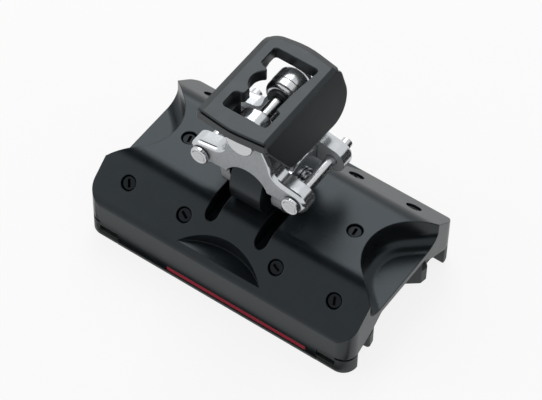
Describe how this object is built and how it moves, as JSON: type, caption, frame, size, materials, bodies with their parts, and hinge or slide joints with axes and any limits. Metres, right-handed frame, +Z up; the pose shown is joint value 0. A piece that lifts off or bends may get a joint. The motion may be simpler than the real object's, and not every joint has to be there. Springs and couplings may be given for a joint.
{
  "type": "traveler track car",
  "caption": "Low sailing track car with sloping flanks and end pockets, a tilting toggle with side clevis pins, and a moulded boot round its main pin.",
  "frame": {"origin": "centre of the plane that the car rests on", "axes": "+X along the track, +Y across it, +Z up"},
  "size_m": [0.22, 0.1312, 0.1675],
  "materials": {
    "body": "black hard anodised",
    "stripe": "red line",
    "cap": "black moulded",
    "ball": "polished plastic balls",
    "rail": "black moulded",
    "screw": "stainless",
    "dark_screw": "blackened",
    "pin_steel": "polished stainless",
    "spring_steel": "bright spring wire",
    "toggle_steel": "tumbled stainless casting, bright on its edges",
    "bush": "black bearing plastic",
    "washer": "black moulded",
    "nut_steel": "stainless",
    "boot": "black moulded elastomer, satin"
  },
  "bodies": {
    "car": {"car_body": "body", "side_stripe": "stripe", "end_cap_near_left": "cap", "end_cap_near_right": "cap", "end_cap_far_left": "cap", "end_cap_far_right": "cap", "balls_near": "ball", "balls_far": "ball", "ball_rail_upper_near": "rail", "ball_rail_lower_near": "rail", "ball_rail_upper_far": "rail", "ball_rail_lower_far": "rail", "cap_screws": "screw", "flank_screws_near": "dark_screw", "flank_screws_far": "dark_screw", "centre_screws": "dark_screw", "toggle_axle": "pin_steel", "axle_clip": "spring_steel", "axle_lock_screw": "screw"},
    "toggle": {"toggle": "toggle_steel", "axle_bush_left": "bush", "axle_bush_right": "bush", "boot": "boot"},
    "main_pin": {"main_pin": "pin_steel", "main_washer": "washer", "main_nut": "nut_steel", "spacer_far": "pin_steel", "spacer_near": "pin_steel", "spacer_washer": "washer"},
    "clevis_left": {"clevis_pin_left": "pin_steel", "clevis_washer_left": "washer"},
    "clevis_right": {"clevis_pin_right": "pin_steel", "clevis_washer_right": "washer"},
    "ring_left": {"split_ring_left": "spring_steel"},
    "ring_right": {"split_ring_right": "spring_steel"}
  },
  "joints": [
    {"name": "toggle_tilt", "type": "hinge", "parent": "car", "child": "toggle", "pos_m": [0, 0, 0.0845], "axis": [1, 0, 0], "range_deg": [-45, 45]},
    {"name": "main_pin_spin", "type": "hinge", "parent": "toggle", "child": "main_pin", "pos_m": [0, 0, 0.1445], "axis": [0, 1, 0], "continuous": true},
    {"name": "clevis_left_spin", "type": "hinge", "parent": "toggle", "child": "clevis_left", "pos_m": [-0.037, 0, 0.0993], "axis": [0, 1, 0], "continuous": true},
    {"name": "clevis_right_spin", "type": "hinge", "parent": "toggle", "child": "clevis_right", "pos_m": [0.037, 0, 0.0993], "axis": [0, 1, 0], "continuous": true},
    {"name": "ring_left_swing", "type": "hinge", "parent": "clevis_left", "child": "ring_left", "pos_m": [-0.037, 0.032, 0.0993], "axis": [1, 0, 0], "range_deg": [-8, 80]},
    {"name": "ring_right_swing", "type": "hinge", "parent": "clevis_right", "child": "ring_right", "pos_m": [0.037, 0.032, 0.0993], "axis": [1, 0, 0], "range_deg": [-8, 80]}
  ]
}
